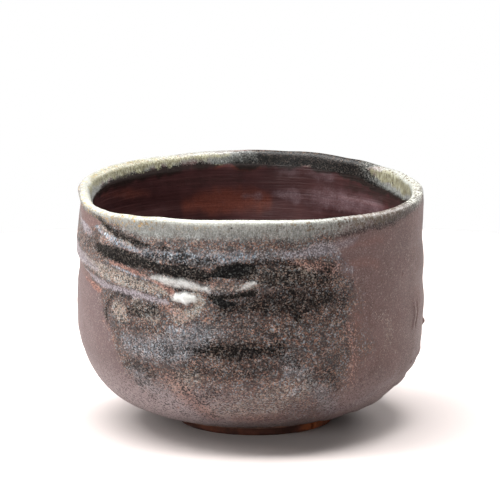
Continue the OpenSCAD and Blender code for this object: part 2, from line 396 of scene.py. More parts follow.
# Rows of (azimuth, strength) of the pale ash in the band.
BAND_STRENGTH = [
    (-180, 0.3), (-168, 0.7), (-100, 0.85), (-60, 1), (-10, 0.95), (8, 0.76), (20, 0.74), (32, 0.66),
    (50, 0.5), (75, 0.5), (106, 0.9), (122, 0.8), (134, 0.2), (142, -0.3), (172, -0.3),
]
# Rows of (azimuth, strength) of the bright crest along the lip.
CREST_STRENGTH = [
    (-180, -0.3), (-170, 0), (-160, 0.3), (-145, 0.4), (-100, 0.5), (-80, 0.8), (-60, 0.9), (-30, 0.95),
    (0, 0.95), (15, 0.72), (28, 0.46), (40, 0.3), (62, 0.24), (75, 1), (95, 0.8), (105, 0.55),
    (122, 0.45), (134, 0.2), (146, -0.3),
]
# Rows of (azimuth, share) of pink in the mauve base.
PINK = [
    (-180, 0.3), (-130, 0.5), (-95, 0.9), (-50, 1), (-30, 0.7), (0, 0.4), (30, 0.2), (60, 0.15), (120, 0.2),
]
# Rows of (azimuth, strength) of the ochre and brown dots along the lip.
OCHRE_DOTS = [
    (-180, 0.5), (-100, 0.5), (-75, 0.8), (-40, 1), (-25, 0.3), (5, 0.3), (20, 0.85), (38, 1.05),
    (60, 1.15), (80, 1.05), (110, 0.9), (150, 0.4),
]
# Rows of (azimuth, strength) of the lighter colour painted low on the hip, lighter towards the bottom.
PALE_HIP = [
    (-180, 0.5), (-90, 0.6), (-60, 1), (-30, 1), (-15, 0.7), (0, 0.4), (25, 0.25), (45, 0.45), (70, 0.4),
]
# The freckled, crystalline part of the front: (s, left azimuth, right azimuth, share).
FRECKLED = [
    (-12, -24, 24, 0.35), (5, -30, 28, 0.55), (12, -36, 31, 0.65), (20, -42, 35, 0.75), (28, -48, 38, 0.85),
    (36, -54, 42, 0.95), (45, -57, 37, 1), (52, -60, 41, 1), (57, -76, 38, 1), (64, -90, 32, 1),
    (75, -95, 30, 1), (90, -100, 40, 1),
]
# Where each raised or sunk mark is: how proud, its soft edge, and its points (azimuth, s, half width).
MARKS = [
    (0.4, 1.4, [
        (-180, S_LOW + 2, 0.5), (-60, S_LOW + 1.7, 0.4), (60, S_LOW + 2, 0.5), (180, S_LOW + 2, 0.5),
    ]),
    (0.75, 2.2, [(-95, 61.5, 1.2), (-80, 60.5, 1.2), (-68, 58.3, 1.2), (-58, 57.2, 1.2), (-45, 56.8, 1)]),
    (-0.45, 1.4, [(-95, 57.5, 0.5), (-80, 56.6, 0.5), (-68, 54.6, 0.5), (-60, 53, 0.4)]),
    (0.45, 1.6, [(-60, 71.5, 1), (-45, 67.5, 1), (-30, 65, 1.2), (-15, 62.8, 1)]),
    (0.35, 1, [(-48, 46.5, 4.6)]),
    (-0.25, 0.8, [(-44, 53, 0.4), (-51, 52.6, 0.4), (-55.5, 48, 0.4), (-55, 42.5, 0.4), (-50, 40.3, 0.4)]),
    (-0.3, 1.2, [(-26, 43.8, 0.8)]),
    (-0.45, 0.9, [(73, 37, 0.4), (74, 41, 0.5), (73.5, 46, 0.3)]),
    (0.35, 1.5, [(70.5, 37, 0.5), (71.5, 41, 0.5), (71, 46, 0.3)]),
    (-0.3, 1, [(-12, 55.5, 0.8), (-4, 55.2, 1.2), (2, 57, 0.5)]),
    (-0.3, 1, [(-12, 64.5, 0.6), (-6, 65.6, 1.2), (-1, 66.8, 0.8)]),
    (0.5, 1.2, [(98, 26.4, 0.3), (86, 25.6, 0.7), (72, 24, 0.3)]),
    (0.55, 1.4, [(94, 16.4, 0.4), (78, 15.2, 0.8), (64, 13.4, 0.3)]),
    (0.5, 1.3, [(86, 6, 0.4), (68, 4.5, 0.8), (50, 3.6, 0.3)]),
    (0.45, 1.2, [(72, -3, 0.4), (54, -4, 0.7), (40, -4.6, 0.3)]),
    (-0.4, 0.5, [(42.8, 46.5, 0.25)]),
    (-0.4, 0.6, [(40.3, 24, 0.4)]),
    (-0.35, 0.6, [(50.8, 24.5, 0.3)]),
    (0.3, 0.6, [(53, 46, 0.3)]),
    (-0.4, 0.5, [(120, 62, 0.3)]),
    (-0.4, 0.5, [(-150, 40, 0.3)]),
]


def stroke_mask(azimuth, s, points, soft, wobble):
    """1 inside a stroke, falling to 0 over its soft edge; `wobble` is added to the distance."""
    best = np.full(np.shape(s), -1e3)
    arc_mm = math.radians(1) * WALL_R
    path = points if len(points) > 1 else points * 2
    for (a0, s0, w0), (a1, s1, w1) in zip(path[:-1], path[1:]):
        middle = (a0 + a1) / 2
        near = middle - 180 + (azimuth - middle + 180) % 360
        dx, dy = (a1 - a0) * arc_mm, s1 - s0
        px, py = (near - a0) * arc_mm, s - s0
        t = np.clip((px * dx + py * dy) / max(dx * dx + dy * dy, 1e-9), 0, 1)
        distance = np.hypot(px - t * dx, py - t * dy)
        best = np.maximum(best, w0 + (w1 - w0) * t - distance)
    return smooth((best + wobble) / soft + 0.5)


def freckled(azimuth, s):
    heights, *edges = columns_of(FRECKLED)
    left, right, share = (np.interp(s, heights, column) for column in edges)
    return smooth((azimuth - left) / 14 + 0.5) * smooth((right - azimuth) / 15 + 0.5) * share


def pattern(azimuth, s, points):
    """The share of each glaze colour at each point of the finished surface."""
    wobble = 0.9 * lattice_noise(points, 4.5, 21) + 0.5 * lattice_noise(points, 1.8, 22)
    wobble = wobble + smooth((s - 84) / 2) * 1.0 * lattice_noise(points * [1, 1, 0.12], 1.8, 26)
    masks = {}
    for name, strokes in PATTERN.items():
        mask = np.zeros(np.shape(s))
        for strength, soft, path in strokes:
            reach = wobble * min(1.0, 0.3 + soft / 3)
            mask = np.maximum(mask, strength * stroke_mask(azimuth, s, path, soft, reach))
        masks[name] = mask
    drip = 0.8 * lattice_noise(points * [1, 1, 0.12], 2.6, 23)
    up = smooth((s - table(azimuth, BAND_EDGE) - drip) / 5.5 + 0.2)
    down = smooth((table(azimuth, INNER_EDGE) - s + 1.4 * drip) / 2.4 + 0.5)
    crest = smooth((s - 77.0) / 6.5) * smooth((88.0 - s) / 1.5)
    strength = table(azimuth, BAND_STRENGTH)
    masks["ash"] = up * down * strength
    masks["crest"] = crest * table(azimuth, CREST_STRENGTH)
    masks["pink"] = table(azimuth, PINK) + 0.25 * lattice_noise(points, 16, 24)
    masks["ochre"] = smooth((s - 76.5) / 2.5) * smooth((86 - s) / 1.5) * table(azimuth, OCHRE_DOTS)
    masks["pale"] = (1 - smooth((s - 12) / 18)) * table(azimuth, PALE_HIP)
    masks["freckle"] = freckled(azimuth + 5 * lattice_noise(points, 7, 25), s)
    return masks


def relief(azimuth, s, points, masks):
    """How far the finished surface stands off the ideal one, in millimetres."""
    outside = 1 - smooth((s - LIP_Z) / 3)
    inside = smooth((s - S_LIP_IN) / 4)
    height = 0.16 * lattice_noise(points, 11, 31) + 0.07 * lattice_noise(points, 4.5, 32)
    for proud, soft, path in MARKS:
        wobble = 0.25 * lattice_noise(points, 3, 33)
        height = height + outside * proud * stroke_mask(azimuth, s, path, soft, wobble)
    rough = 0.25 + 0.75 * masks["freckle"]
    height = height + outside * rough * (
        0.07 * lattice_noise(points, 1.7, 34) + 0.05 * lattice_noise(points, 1.1, 35)
    )
    turns = lattice_noise(np.stack([points[..., 0] / 14, points[..., 1] / 14, points[..., 2]], -1), 2.6, 36)
    height = height + inside * 0.16 * turns + outside * 0.05 * turns
    return np.clip(height, -0.5, 1.1)


# ---- meshes

MASKS = list(PATTERN) + ["ash", "crest", "ochre", "pink", "pale", "freckle"]


def columns(count):
    """Azimuths round the bowl, closer together at the front."""
    t = np.arange(count) / count * TURN - math.pi
    return np.degrees(t - 0.3 * np.sin(t))


def finished(azimuth, s, extra=0.0):
    """Warped points and glaze masks of the finished surface; `extra` is added to its relief."""
    azimuth, s = np.broadcast_arrays(azimuth, s)
    r, z, nr, nz = section(s)
    ideal = around(azimuth, r, z)
    masks = pattern(azimuth, s, ideal)
    height = relief(azimuth, s, ideal, masks) + extra
    return warp(around(azimuth, r + nr * height, z + nz * height)), masks


def buried(azimuth, s, depth):
    """Warped points of the same surface at a depth below the ideal one."""
    azimuth, s = np.broadcast_arrays(azimuth, s)
    r, z, nr, nz = section(s)
    return warp(around(azimuth, r - nr * depth, z - nz * depth))


def quads(rows, cols, start, flip, wrap=True):
    i = np.arange(rows - 1)[:, None]
    j = np.arange(cols if wrap else cols - 1)[None, :]
    nxt = (j + 1) % cols
    a, b = start + i * cols + j, start + i * cols + nxt
    c, d = start + (i + 1) * cols + nxt, start + (i + 1) * cols + j
    order = (a, d, c, b) if flip else (a, b, c, d)
    return np.stack(np.broadcast_arrays(*order), -1).reshape(-1, 4)


def bridge(first, second, flip):
    """Quads between two closed rings of vertex numbers."""
    a, b = first, np.roll(first, -1)
    c, d = np.roll(second, -1), second
    return np.stack((a, d, c, b) if flip else (a, b, c, d), -1)


def link(thing):
    bpy.context.scene.collection.objects.link(thing)
    return thing


def make_piece(name, node, points, faces, material, masks, poles=()):
    """A closed mesh from points in millimetres, quads and fans of triangles round poles."""
    flat = [tuple(int(v) for v in face) for face in faces]
    for ring, pole, flip in poles:
        pairs = zip(ring, np.roll(ring, -1))
        flat += [(int(b), int(a), pole) if flip else (int(a), int(b), pole) for a, b in pairs]
    mesh = bpy.data.meshes.new(name)
    mesh.from_pydata((np.asarray(points) * MM).tolist(), [], flat)
    for mask, values in masks.items():
        attribute = mesh.attributes.new(mask, "FLOAT", "POINT")
        attribute.data.foreach_set("value", np.ascontiguousarray(values, np.float32))
    mesh.shade_smooth()
    mesh.set_sharp_from_angle(angle=math.radians(50))
    mesh.materials.append(material)
    piece = link(bpy.data.objects.new(name, mesh))
    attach(piece, "root")
    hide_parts(node)


def coat(name, node, start_s, end_s, rows, back_rows, count, material):
    """A closed glaze coat between two edges that may wander; at the floor's centre it closes in a pole."""
    azimuth = columns(count)[None, :]
    low, high = start_s(azimuth), end_s(azimuth)
    front, masks = finished(azimuth, low + (high - low) * np.linspace(0, 1, rows)[:, None])
    back = buried(azimuth, low + (high - low) * np.linspace(0, 1, back_rows)[:, None], GLAZE_T)
    points = np.concatenate([front.reshape(-1, 3), back.reshape(-1, 3)])
    back_start = rows * count
    ring = np.arange(count)
    last_front, last_back = back_start - count + ring, len(points) - count + ring
    faces = [
        quads(rows, count, 0, False),
        quads(back_rows, count, back_start, True),
        bridge(ring, back_start + ring, True),
    ]
    poles = []
    if np.max(high) == S_END:
        poles = [(last_front, len(points), False), (last_back, len(points) + 1, True)]
        points = np.concatenate([points, [front[-1].mean(0), back[-1].mean(0)]])
    else:
        faces.append(bridge(last_front, last_back, False))
    behind = np.zeros(len(points) - back_start)
    values = {key: np.concatenate([masks[key].ravel(), behind]) for key in MASKS}
    make_piece(name, node, points, np.concatenate(faces), material, values, poles)


# ---- materials

def linear(colour):
    """The linear colour of three display values from 0 to 255."""
    values = [v / 255 for v in colour]
    return tuple(v / 12.92 if v <= 0.04045 else ((v + 0.055) / 1.055) ** 2.4 for v in values) + (1.0,)


class Graph:
    """Builds one material's nodes. A value is a socket or a number, and a colour is a socket or three
    display values from 0 to 255 in a tuple."""

    def __init__(self, name):
        self.material = bpy.data.materials.new(name)
        self.material.use_nodes = True
        self.tree = self.material.node_tree
        self.tree.nodes.clear()
        self.place = self.add("TexCoord").outputs["Object"]

    def add(self, kind, inputs=None, **settings):
        """A node with its settings, and its inputs linked to sockets or set to values."""
        node = self.tree.nodes.new("ShaderNode" + kind)
        for key, value in settings.items():
            setattr(node, key, value)
        for key, value in (inputs or {}).items():
            if isinstance(value, bpy.types.NodeSocket):
                self.tree.links.new(value, node.inputs[key])
            else:
                node.inputs[key].default_value = linear(value) if isinstance(value, tuple) else value
        return node

    def mask(self, name):
        return self.add("Attribute", attribute_name=name).outputs["Fac"]

    def math(self, operation, a, b):
        return self.add("Math", {0: a, 1: b}, operation=operation).outputs[0]

    def times(self, a, b):
        return self.math("MULTIPLY", a, b)

    def plus(self, a, b):
        return self.math("ADD", a, b)

    def minus(self, a, b):
        return self.math("SUBTRACT", a, b)

    def stretched(self, stretch):
        """The place on the bowl, with each axis scaled."""
        return self.add("Mapping", {"Vector": self.place, "Scale": stretch}).outputs["Vector"]

    def noise(self, size_mm, detail=3, rough=0.65, stretch=(), shift=0.0):
        """Noise from 0 to 1 with features about size_mm wide."""
        place = self.stretched(list(stretch)) if stretch else self.place
        scale = 1 / (size_mm * MM)
        inputs = {"Vector": place, "W": shift, "Scale": scale, "Detail": detail, "Roughness": rough}
        return self.add("TexNoise", inputs, noise_dimensions="4D").outputs["Fac"]

    def step(self, value, low, high):
        inputs = {"Value": value, "From Min": low, "From Max": high}
        return self.add("MapRange", inputs, interpolation_type="SMOOTHSTEP").outputs["Result"]

    def lerp(self, factor, a, b):
        """A number between a and b."""
        return self.add("Mix", {0: factor, 2: a, 3: b}, data_type="FLOAT").outputs[0]

    def mix(self, factor, a, b, blend="MIX"):
        """A colour between a and b."""
        return self.add("Mix", {0: factor, 6: a, 7: b}, data_type="RGBA", blend_type=blend).outputs[2]

    def cells(self, size_mm, stretch=()):
        """How far each place is from the middle of its cell, and three random numbers for the cell."""
        place = self.stretched(list(stretch)) if stretch else self.place
        node = self.add("TexVoronoi", {"Vector": place, "Scale": 1 / (size_mm * MM)}, feature="F1")
        split = self.add("SeparateColor", {"Color": node.outputs["Color"]}).outputs
        return node.outputs["Distance"], split["Red"], split["Green"], split["Blue"]

    def specks(self, size_mm, stretch=()):
        """Two random numbers, the same all over each speck."""
        return self.cells(size_mm, stretch)[1:3]

    def dots(self, spacing_mm, share, radius_mm):
        """Round dots in a share of the cells of an uneven grid."""
        distance, _, _, chance = self.cells(spacing_mm)
        reach = radius_mm / spacing_mm
        near = self.step(distance, reach * 1.4, reach * 0.6)
        return self.times(near, self.step(chance, 1 - share, 1 - share + 0.02))

    def palette(self, factor, *colours, low=0.32, high=0.68):
        """Colours in turn as a number goes from low to high; the limits suit a noise."""
        node = self.add("ValToRGB", {"Fac": factor})
        stops = node.color_ramp.elements
        while len(stops) < len(colours):
            stops.new(0.5)
        for k, colour in enumerate(colours):
            stops[k].position = low + (high - low) * k / (len(colours) - 1)
            stops[k].color = linear(colour)
        return node.outputs["Color"]

    def cover(self, amount, noise, spread, soft):
        """Turns a share of cover into patches: where it is 0.5, half of the surface is covered."""
        lifted = self.plus(amount, self.times(self.minus(noise, 0.5), spread))
        return self.step(lifted, 0.5 - soft, 0.5 + soft)

    def paint(self, colour, mask, noise, spread, soft, tone):
        """A tone laid over a colour in the patches of one mask."""
        return self.mix(self.cover(self.mask(mask), noise, spread, soft), colour, tone)

    def finish(self, colour, roughness, height, depth_mm, gloss=0.3):
        bump = self.add("Bump", {"Strength": 1.0, "Distance": depth_mm * MM, "Height": height})
        shader = self.add("BsdfPrincipled", {
            "Base Color": colour, "Roughness": roughness, "Specular IOR Level": gloss,
            "Normal": bump.outputs["Normal"],
        })
        self.add("OutputMaterial", {"Surface": shader.outputs["BSDF"]})
        return self.material


def speckled(g, speck, plain, cold, warm):
    """Each speck takes a tone by its first random number, and some turn cold or warm by its second."""
    value, hue = speck
    soft = g.noise(1.6, 4, shift=11.0)
    cloud = g.noise(7.0, 2, 0.5, shift=13.0)
    value = g.plus(g.times(value, 0.55), g.times(g.minus(soft, 0.3), 0.8))
    value = g.plus(value, g.times(g.minus(cloud, 0.5), 0.7))
    colour = g.palette(value, *plain, low=0.06, high=0.84)
    colour = g.mix(g.step(hue, 0.7, 0.8), colour, g.palette(value, *cold, low=0.06, high=0.84))
    return g.mix(g.step(hue, 0.3, 0.2), colour, g.palette(value, *warm, low=0.06, high=0.84))


def mauve_base(g, grain):
    cloud = g.noise(14, rough=0.55, shift=2.0)
    blots = g.step(g.noise(5.5, rough=0.6, shift=21.0), 0.56, 0.7)
    brown = g.palette(cloud, (69, 46, 41), (95, 68, 64))
    pink = g.palette(cloud, (71, 59, 62), (83, 72, 75))
    colour = g.mix(g.math("MINIMUM", g.mask("pink"), 1.0), brown, pink)
    colour = g.mix(g.times(blots, 0.35), colour, (64, 44, 44))
    colour = g.mix(g.times(g.dots(5.0, 0.3, 0.35), 0.7), colour, (44, 30, 30))
    colour = g.mix(g.times(g.dots(3.7, 0.2, 0.25), 0.7), colour, (136, 116, 108))
    return g.mix(0.5, colour, g.palette(grain, (46, 32, 29), (84, 63, 60), (116, 93, 88)))


def mottle(g, speck, blot):
    """The crystalline ground of the front: brown with dark, tan, blue-grey and rusty specks."""
    colour = speckled(
        g, speck,
        ((22, 17, 15), (58, 46, 42), (84, 69, 62), (138, 122, 109)),
        ((22, 22, 24), (62, 65, 68), (92, 100, 106), (134, 148, 158)),
        ((34, 20, 16), (84, 56, 45), (118, 82, 66), (154, 114, 92)),
    )
    shade = g.palette(blot, (120, 112, 108), (214, 208, 204), (255, 255, 255))
    return g.mix(0.8, colour, shade, "MULTIPLY")


def tan_tone(g, speck):
    return speckled(
        g, speck,
        ((68, 60, 54), (112, 102, 92), (132, 122, 111), (162, 153, 141)),
        ((66, 66, 64), (108, 110, 107), (130, 134, 133), (154, 162, 163)),
        ((74, 60, 53), (118, 100, 90), (138, 119, 108), (164, 145, 132)),
    )


def frost_tone(g):
    """Blue-white needles that hang down the wall."""
    return speckled(
        g, g.specks(0.42, stretch=(1, 1, 0.55)),
        ((26, 24, 26), (76, 77, 82), (112, 116, 122), (176, 184, 190)),
        ((30, 34, 38), (84, 96, 106), (118, 134, 146), (170, 192, 204)),
        ((40, 30, 28), (100, 84, 80), (132, 112, 106), (184, 162, 152)),
    )


def front_tones(g, colour, speck, dots, edge):
    """The brown, grey, tan, blue, lilac and rusty patches of the outside, each over the ones before it. The
    lilac also paints highlights along the left edge and on the back of the lip, and the rusty tone paints the
    shadow line under the ridge.
    """
    tone = g.palette(dots, (44, 48, 52), (82, 86, 90), (106, 110, 114), (134, 142, 150))
    colour = g.mix(g.times(g.cover(g.mask("cool"), edge, 0.9, 0.5), 0.7), colour, tone)
    value = g.times(speck[0], dots)
    tone = g.palette(value, (48, 41, 42), (114, 100, 100), (145, 132, 132), low=0.02, high=0.2)
    colour = g.mix(g.times(g.mask("pale"), 0.8), colour, tone)
    colour = g.paint(colour, "tan", dots, 0.8, 0.4, tan_tone(g, speck))
    colour = g.paint(colour, "frost", dots, 0.8, 0.4, frost_tone(g))
    # Lilac patches, and the painted highlights along the left edge and on the back of the lip.
    tone = g.palette(dots, (78, 70, 72), (112, 105, 109), (136, 130, 135))
    colour = g.paint(colour, "lilac_and_highlight", edge, 0.7, 0.5, tone)
    # The rusty tone, which also paints the shadow line under the ridge at the left.
    tone = g.palette(speck[0], (58, 38, 34), (108, 76, 67), (150, 112, 99), low=0, high=1)
    return g.paint(colour, "ember_and_shadow", dots, 1.1, 0.4, tone)


def black_glaze(g, colour, speck, dots, edge):
    """Pepper, iron and pools over a colour, and where the iron and where any black glaze is."""
    holes = g.minus(1.0, dots)
    pepper = g.cover(g.mask("pepper"), holes, 1.3, 0.14)
    colour = g.mix(g.times(pepper, 0.8), colour, (22, 18, 18))
    iron = g.cover(g.mask("iron"), holes, 0.6, 0.42)
    tone = g.palette(speck[0], (5, 4, 4), (13, 11, 10), (20, 18, 16), (40, 32, 26), low=0, high=1)
    colour = g.mix(iron, colour, tone)
    pool = g.cover(g.mask("pool"), edge, 1.0, 0.3)
    colour = g.mix(pool, colour, g.palette(dots, (2, 2, 2), (6, 5, 5), (14, 12, 12)))
    return colour, iron, g.math("MAXIMUM", iron, pool)


def ash_tone(g, hair):
    fine = g.noise(0.45, rough=0.7, shift=12.0)
    colour = g.palette(hair, (54, 52, 44), (94, 95, 90), (110, 112, 108), (148, 153, 151))
    return g.mix(0.42, colour, g.palette(fine, (56, 54, 48), (112, 113, 110), (168, 171, 170)))


def ash_glaze(g, colour, ash, hair, fuzz, grain):
    """The pale ash of the rim: its crest, its olive stretches, and the dots and crust along the lip."""
    colour = g.mix(ash, colour, ash_tone(g, hair))
    tone = g.palette(grain, (112, 112, 100), (145, 146, 138), (163, 165, 159))
    colour = g.paint(colour, "crest", fuzz, 1.0, 0.45, tone)
    tone = g.palette(hair, (56, 50, 38), (108, 104, 82), (150, 150, 132))
    colour = g.paint(colour, "lime", fuzz, 1.0, 0.3, tone)
    tone = g.mix(g.step(g.mask("pink"), 0.3, 0.7), (62, 48, 36), (142, 116, 70))
    colour = g.mix(g.times(g.dots(1.2, 0.6, 0.45), g.mask("ochre")), colour, tone)
    flakes = g.noise(1.1, rough=0.7, stretch=(1, 1, 0.5), shift=17.0)
    crust = g.step(g.times(flakes, g.mask("ochre")), 0.52, 0.58)
    tone = g.mix(g.mask("pink"), (44, 36, 31), (120, 104, 82))
    colour = g.mix(g.times(crust, 0.85), colour, tone)
    return g.mix(g.times(g.dots(2.3, 0.18, 0.3), g.mask("ash")), colour, (24, 20, 20))


def glaze_material(name, black_gloss=0.04):
    """The coat of the outside and the rim: mauve base, then the colours of the pattern in turn."""
    g = Graph(name)
    speck = g.specks(0.42)
    grain = g.noise(0.42)
    blot = g.noise(2.4, shift=7.0)
    edge = g.plus(g.times(blot, 0.5), g.times(g.noise(0.8, rough=0.7, shift=4.0), 0.5))
    dots = g.plus(g.times(speck[0], 0.5), g.times(edge, 0.5))
    hair = g.noise(0.5, rough=0.7, stretch=(1, 1, 0.16), shift=5.0)
    fuzz = g.plus(g.times(hair, 0.4), g.times(dots, 0.6))

    # The pink flush, which also paints the shadow line under the ridge at the left.
    flush_and_shadow = g.times(g.cover(g.mask("flush_and_shadow"), blot, 0.8, 0.5), 0.8)
    colour = g.mix(flush_and_shadow, mauve_base(g, grain), g.palette(grain, (84, 56, 51), (106, 76, 70)))
    freckle = g.cover(g.mask("freckle"), dots, 0.9, 0.4)
    colour = g.mix(freckle, colour, mottle(g, speck, blot))
    colour = front_tones(g, colour, speck, dots, edge)
    colour, iron, black = black_glaze(g, colour, speck, dots, edge)
    ash = g.cover(g.mask("ash"), fuzz, 0.9, 0.5)
    colour = ash_glaze(g, colour, ash, hair, fuzz, grain)
    white = g.cover(g.mask("white"), fuzz, 0.6, 0.5)
    colour = g.mix(white, colour, g.palette(edge, (140, 140, 134), (180, 181, 178), (206, 209, 209)))

    roughness = g.lerp(white, g.lerp(ash, g.lerp(iron, 0.5, 0.42), 0.32), 0.28)
    bumps = g.plus(g.times(speck[0], g.lerp(freckle, 0.1, 0.5)), g.times(grain, 0.6))
    height = g.times(bumps, g.lerp(ash, 1.0, 0.35))
    return g.finish(colour, roughness, height, 0.2, gloss=g.lerp(black, 0.3, black_gloss))


def inner_material():
    """Dark red-brown with throwing lines, rusty where the iron broke, and hazy mauve-grey at the back right,
    which is partly a painted sheen.
    """
    g = Graph("inner_glaze_red_brown")
    lines = g.noise(0.9, rough=0.6, stretch=(0.05, 0.05, 1), shift=1.0)
    cloud = g.noise(16, rough=0.6, shift=3.0)
    grain = g.noise(0.6)
    blot = g.noise(3.0, rough=0.6, shift=4.0)
    colour = g.palette(cloud, (46, 25, 25), (57, 32, 33), (70, 42, 43))
    colour = g.paint(colour, "rust", cloud, 0.8, 0.5, g.palette(grain, (88, 42, 32), (112, 60, 46)))
    # Mauve-grey haze, partly a painted sheen on the back wall.
    haze_and_sheen = g.times(g.cover(g.mask("haze_and_sheen"), blot, 1.0, 0.5), 0.75)
    colour = g.mix(haze_and_sheen, colour, g.palette(grain, (84, 62, 66), (104, 84, 88), (128, 112, 116)))
    colour = g.mix(0.16, colour, g.palette(lines, (30, 16, 16), (66, 38, 36), (100, 66, 62)))
    colour = g.paint(colour, "iron", grain, 1.0, 0.4, g.palette(grain, (14, 10, 9), (40, 30, 27)))
    pale = g.palette(grain, (110, 106, 84), (160, 160, 132))
    colour = g.paint(colour, "ash", grain, 1.2, 0.3, pale)
    colour = g.paint(colour, "lime", grain, 1.2, 0.3, pale)
    height = g.plus(lines, g.times(grain, 0.15))
    return g.finish(colour, g.lerp(cloud, 0.3, 0.45), height, 0.15, gloss=0.3)


def clay_material(name, dark, light, flash_and_light):
    g = Graph(name)
    grain = g.noise(0.7)
    blot = g.noise(5, rough=0.6, shift=2.0)
    colour = g.mix(g.step(blot, 0.35, 0.65), dark, light)
    # The flash colour: a real orange on the clay body, and painted light on the right of the foot ring.
    colour = g.mix(g.cover(g.mask("flash_and_light"), blot, 1.3, 0.3), colour, flash_and_light)
    pit = g.step(grain, 0.62, 0.7)
    colour = g.mix(g.times(pit, 0.5), colour, (34, 22, 18))
    return g.finish(colour, 0.8, grain, 0.4, gloss=0.15)


# ---- the pieces

def outer_seam(azimuth):
    return table(azimuth, BAND_EDGE) - 0.6


def inner_seam(azimuth):
    return table(azimuth, INNER_EDGE) + 0.8


def floor_centre(azimuth):
    return np.full(np.shape(azimuth), S_END)


def glaze_line(azimuth):
    a = np.radians(azimuth)
    return S_LOW + 0.8 + 0.5 * np.sin(3 * a + 1) + 0.3 * np.sin(7 * a)


def build_coats():
    mottled, ashy = glaze_material("outer_mottle"), glaze_material("rim_ash", 0.15)
    coat("outer_coat", "outer_glaze", glaze_line, outer_seam, 132, 6, 700, mottled)
    coat("rim_coat", "rim_glaze", outer_seam, inner_seam, 44, 12, 1000, ashy)
    coat("inner_coat", "inner_glaze", inner_seam, floor_centre, 150, 8, 480, inner_material())


def underside(azimuth):
    """Rows of points of the bare underside: the trimmed recess and its button, then out to the glaze line."""
    r = np.array([0.6, 4, 7, 12, 18, 21.3, 21.6, 26, 27.5, 29, 30])[:, None]
    step = RECESS_DEPTH / 2
    button = step * np.clip((7 - r) / 7, 0, 1)
    recess = FOOT_H + step + step * np.clip((21.4 - r) / 14.3, 0, 1) - button
    edge_z = section(S_LOW)[1] - GLAZE_T * math.cos(UNDER_SLOPE)
    cone = edge_z - (GLAZE_LINE_R - r) * math.tan(UNDER_SLOPE)
    points = around(*np.broadcast_arrays(azimuth, r, np.where(r < RECESS_R, recess, cone)))
    points[..., 0] += np.where(r < RECESS_R, FOOT_X, FOOT_X * np.clip((GLAZE_LINE_R - r) / 8, 0, 1))
    points[..., 2] += 0.12 * lattice_noise(points, 3, 41)
    return points


def build_clay():
    """The clay under the coats, with the cut inside the foot ring; it shows above the foot."""
    count = 256
    azimuth = columns(count)[None, :]
    outside = np.linspace(S_LOW, LIP_Z, 80)
    lip = np.linspace(LIP_Z, S_LIP_IN, 14)[1:]
    inside = np.linspace(S_LIP_IN, S_END, 70)[1:]
    skin = buried(azimuth, np.concatenate([outside, lip, inside])[:, None], GLAZE_T)
    grid = np.concatenate([underside(azimuth), skin])
    rows = len(grid)
    points = np.concatenate([grid.reshape(-1, 3), [grid[0].mean(0), grid[-1].mean(0)]])
    ring = np.arange(count)
    poles = [(ring, rows * count, True), ((rows - 1) * count + ring, rows * count + 1, False)]
    material = clay_material("bare_clay", (84, 62, 54), (118, 92, 80), (140, 84, 58))
    flash_and_light = {"flash_and_light": np.full(len(points), 0.2)}
    faces = quads(rows, count, 0, False)
    make_piece("clay", "clay_body", points, faces, material, flash_and_light, poles)


# Rows of (azimuth, strength) of the orange on the foot's bare clay. It is painted light: strong on the right,
# where the ring catches light, and weak in front, where it is in shade.
FOOT_PAINTED_LIGHT = [(-180, 0.3), (-100, 0.1), (-20, 0.1), (30, 0.12), (46, 0.6), (66, 0.6), (90, 0.2), (140, 0.4)]


def build_foot():
    """The ring as turned and knocked about: its outline runs round the section, its edge is chipped."""
    chamfer, top = 0.9, FOOT_H + 1.6
    corners = [
        (RECESS_R, top), (RECESS_R, chamfer), (RECESS_R + chamfer, 0), (FOOT_R - chamfer, 0),
        (FOOT_R, chamfer), (FOOT_R + 0.3, top), (RECESS_R, top),
    ]
    steps = [10, 4, 10, 4, 12, 6]
    outline = np.concatenate([line(a, b, n)[:-1] for a, b, n in zip(corners, corners[1:], steps)])
    count = 480
    azimuth = np.broadcast_to(columns(count)[:, None], (count, len(outline)))
    points = around(*np.broadcast_arrays(azimuth, outline[:, 0], outline[:, 1]))
    lift = smooth(outline[:, 1] / 1.0)[None, :]
    side = np.sign(outline[:, 0] - (RECESS_R + FOOT_R) / 2)[None, :]
    rough = 0.35 * lattice_noise(points, 6, 42) + 0.22 * lattice_noise(points, 1.8, 43)
    chip = 1.2 * smooth(1 - np.abs(azimuth - 46) / 2.2) * (side > 0)
    r = np.hypot(points[..., 0], points[..., 1]) + side * lift * rough - chip * lift
    z = points[..., 2] + 0.15 * lift * lattice_noise(points, 4, 44)
    grid = around(azimuth, r, z)
    grid[..., 0] += FOOT_X
    rows, cols = grid.shape[:2]
    faces = np.concatenate([
        quads(rows, cols, 0, True),
        bridge(np.arange(cols) + (rows - 1) * cols, np.arange(cols), True),
    ])
    material = clay_material("foot_clay", (50, 28, 22), (74, 42, 31), (134, 74, 42))
    # Painted light: the foot's orange is strongest on its right, where it catches light.
    flash_and_light = {"flash_and_light": table(azimuth, FOOT_PAINTED_LIGHT).ravel()}
    make_piece("foot", "foot_ring", grid.reshape(-1, 3), faces, material, flash_and_light)


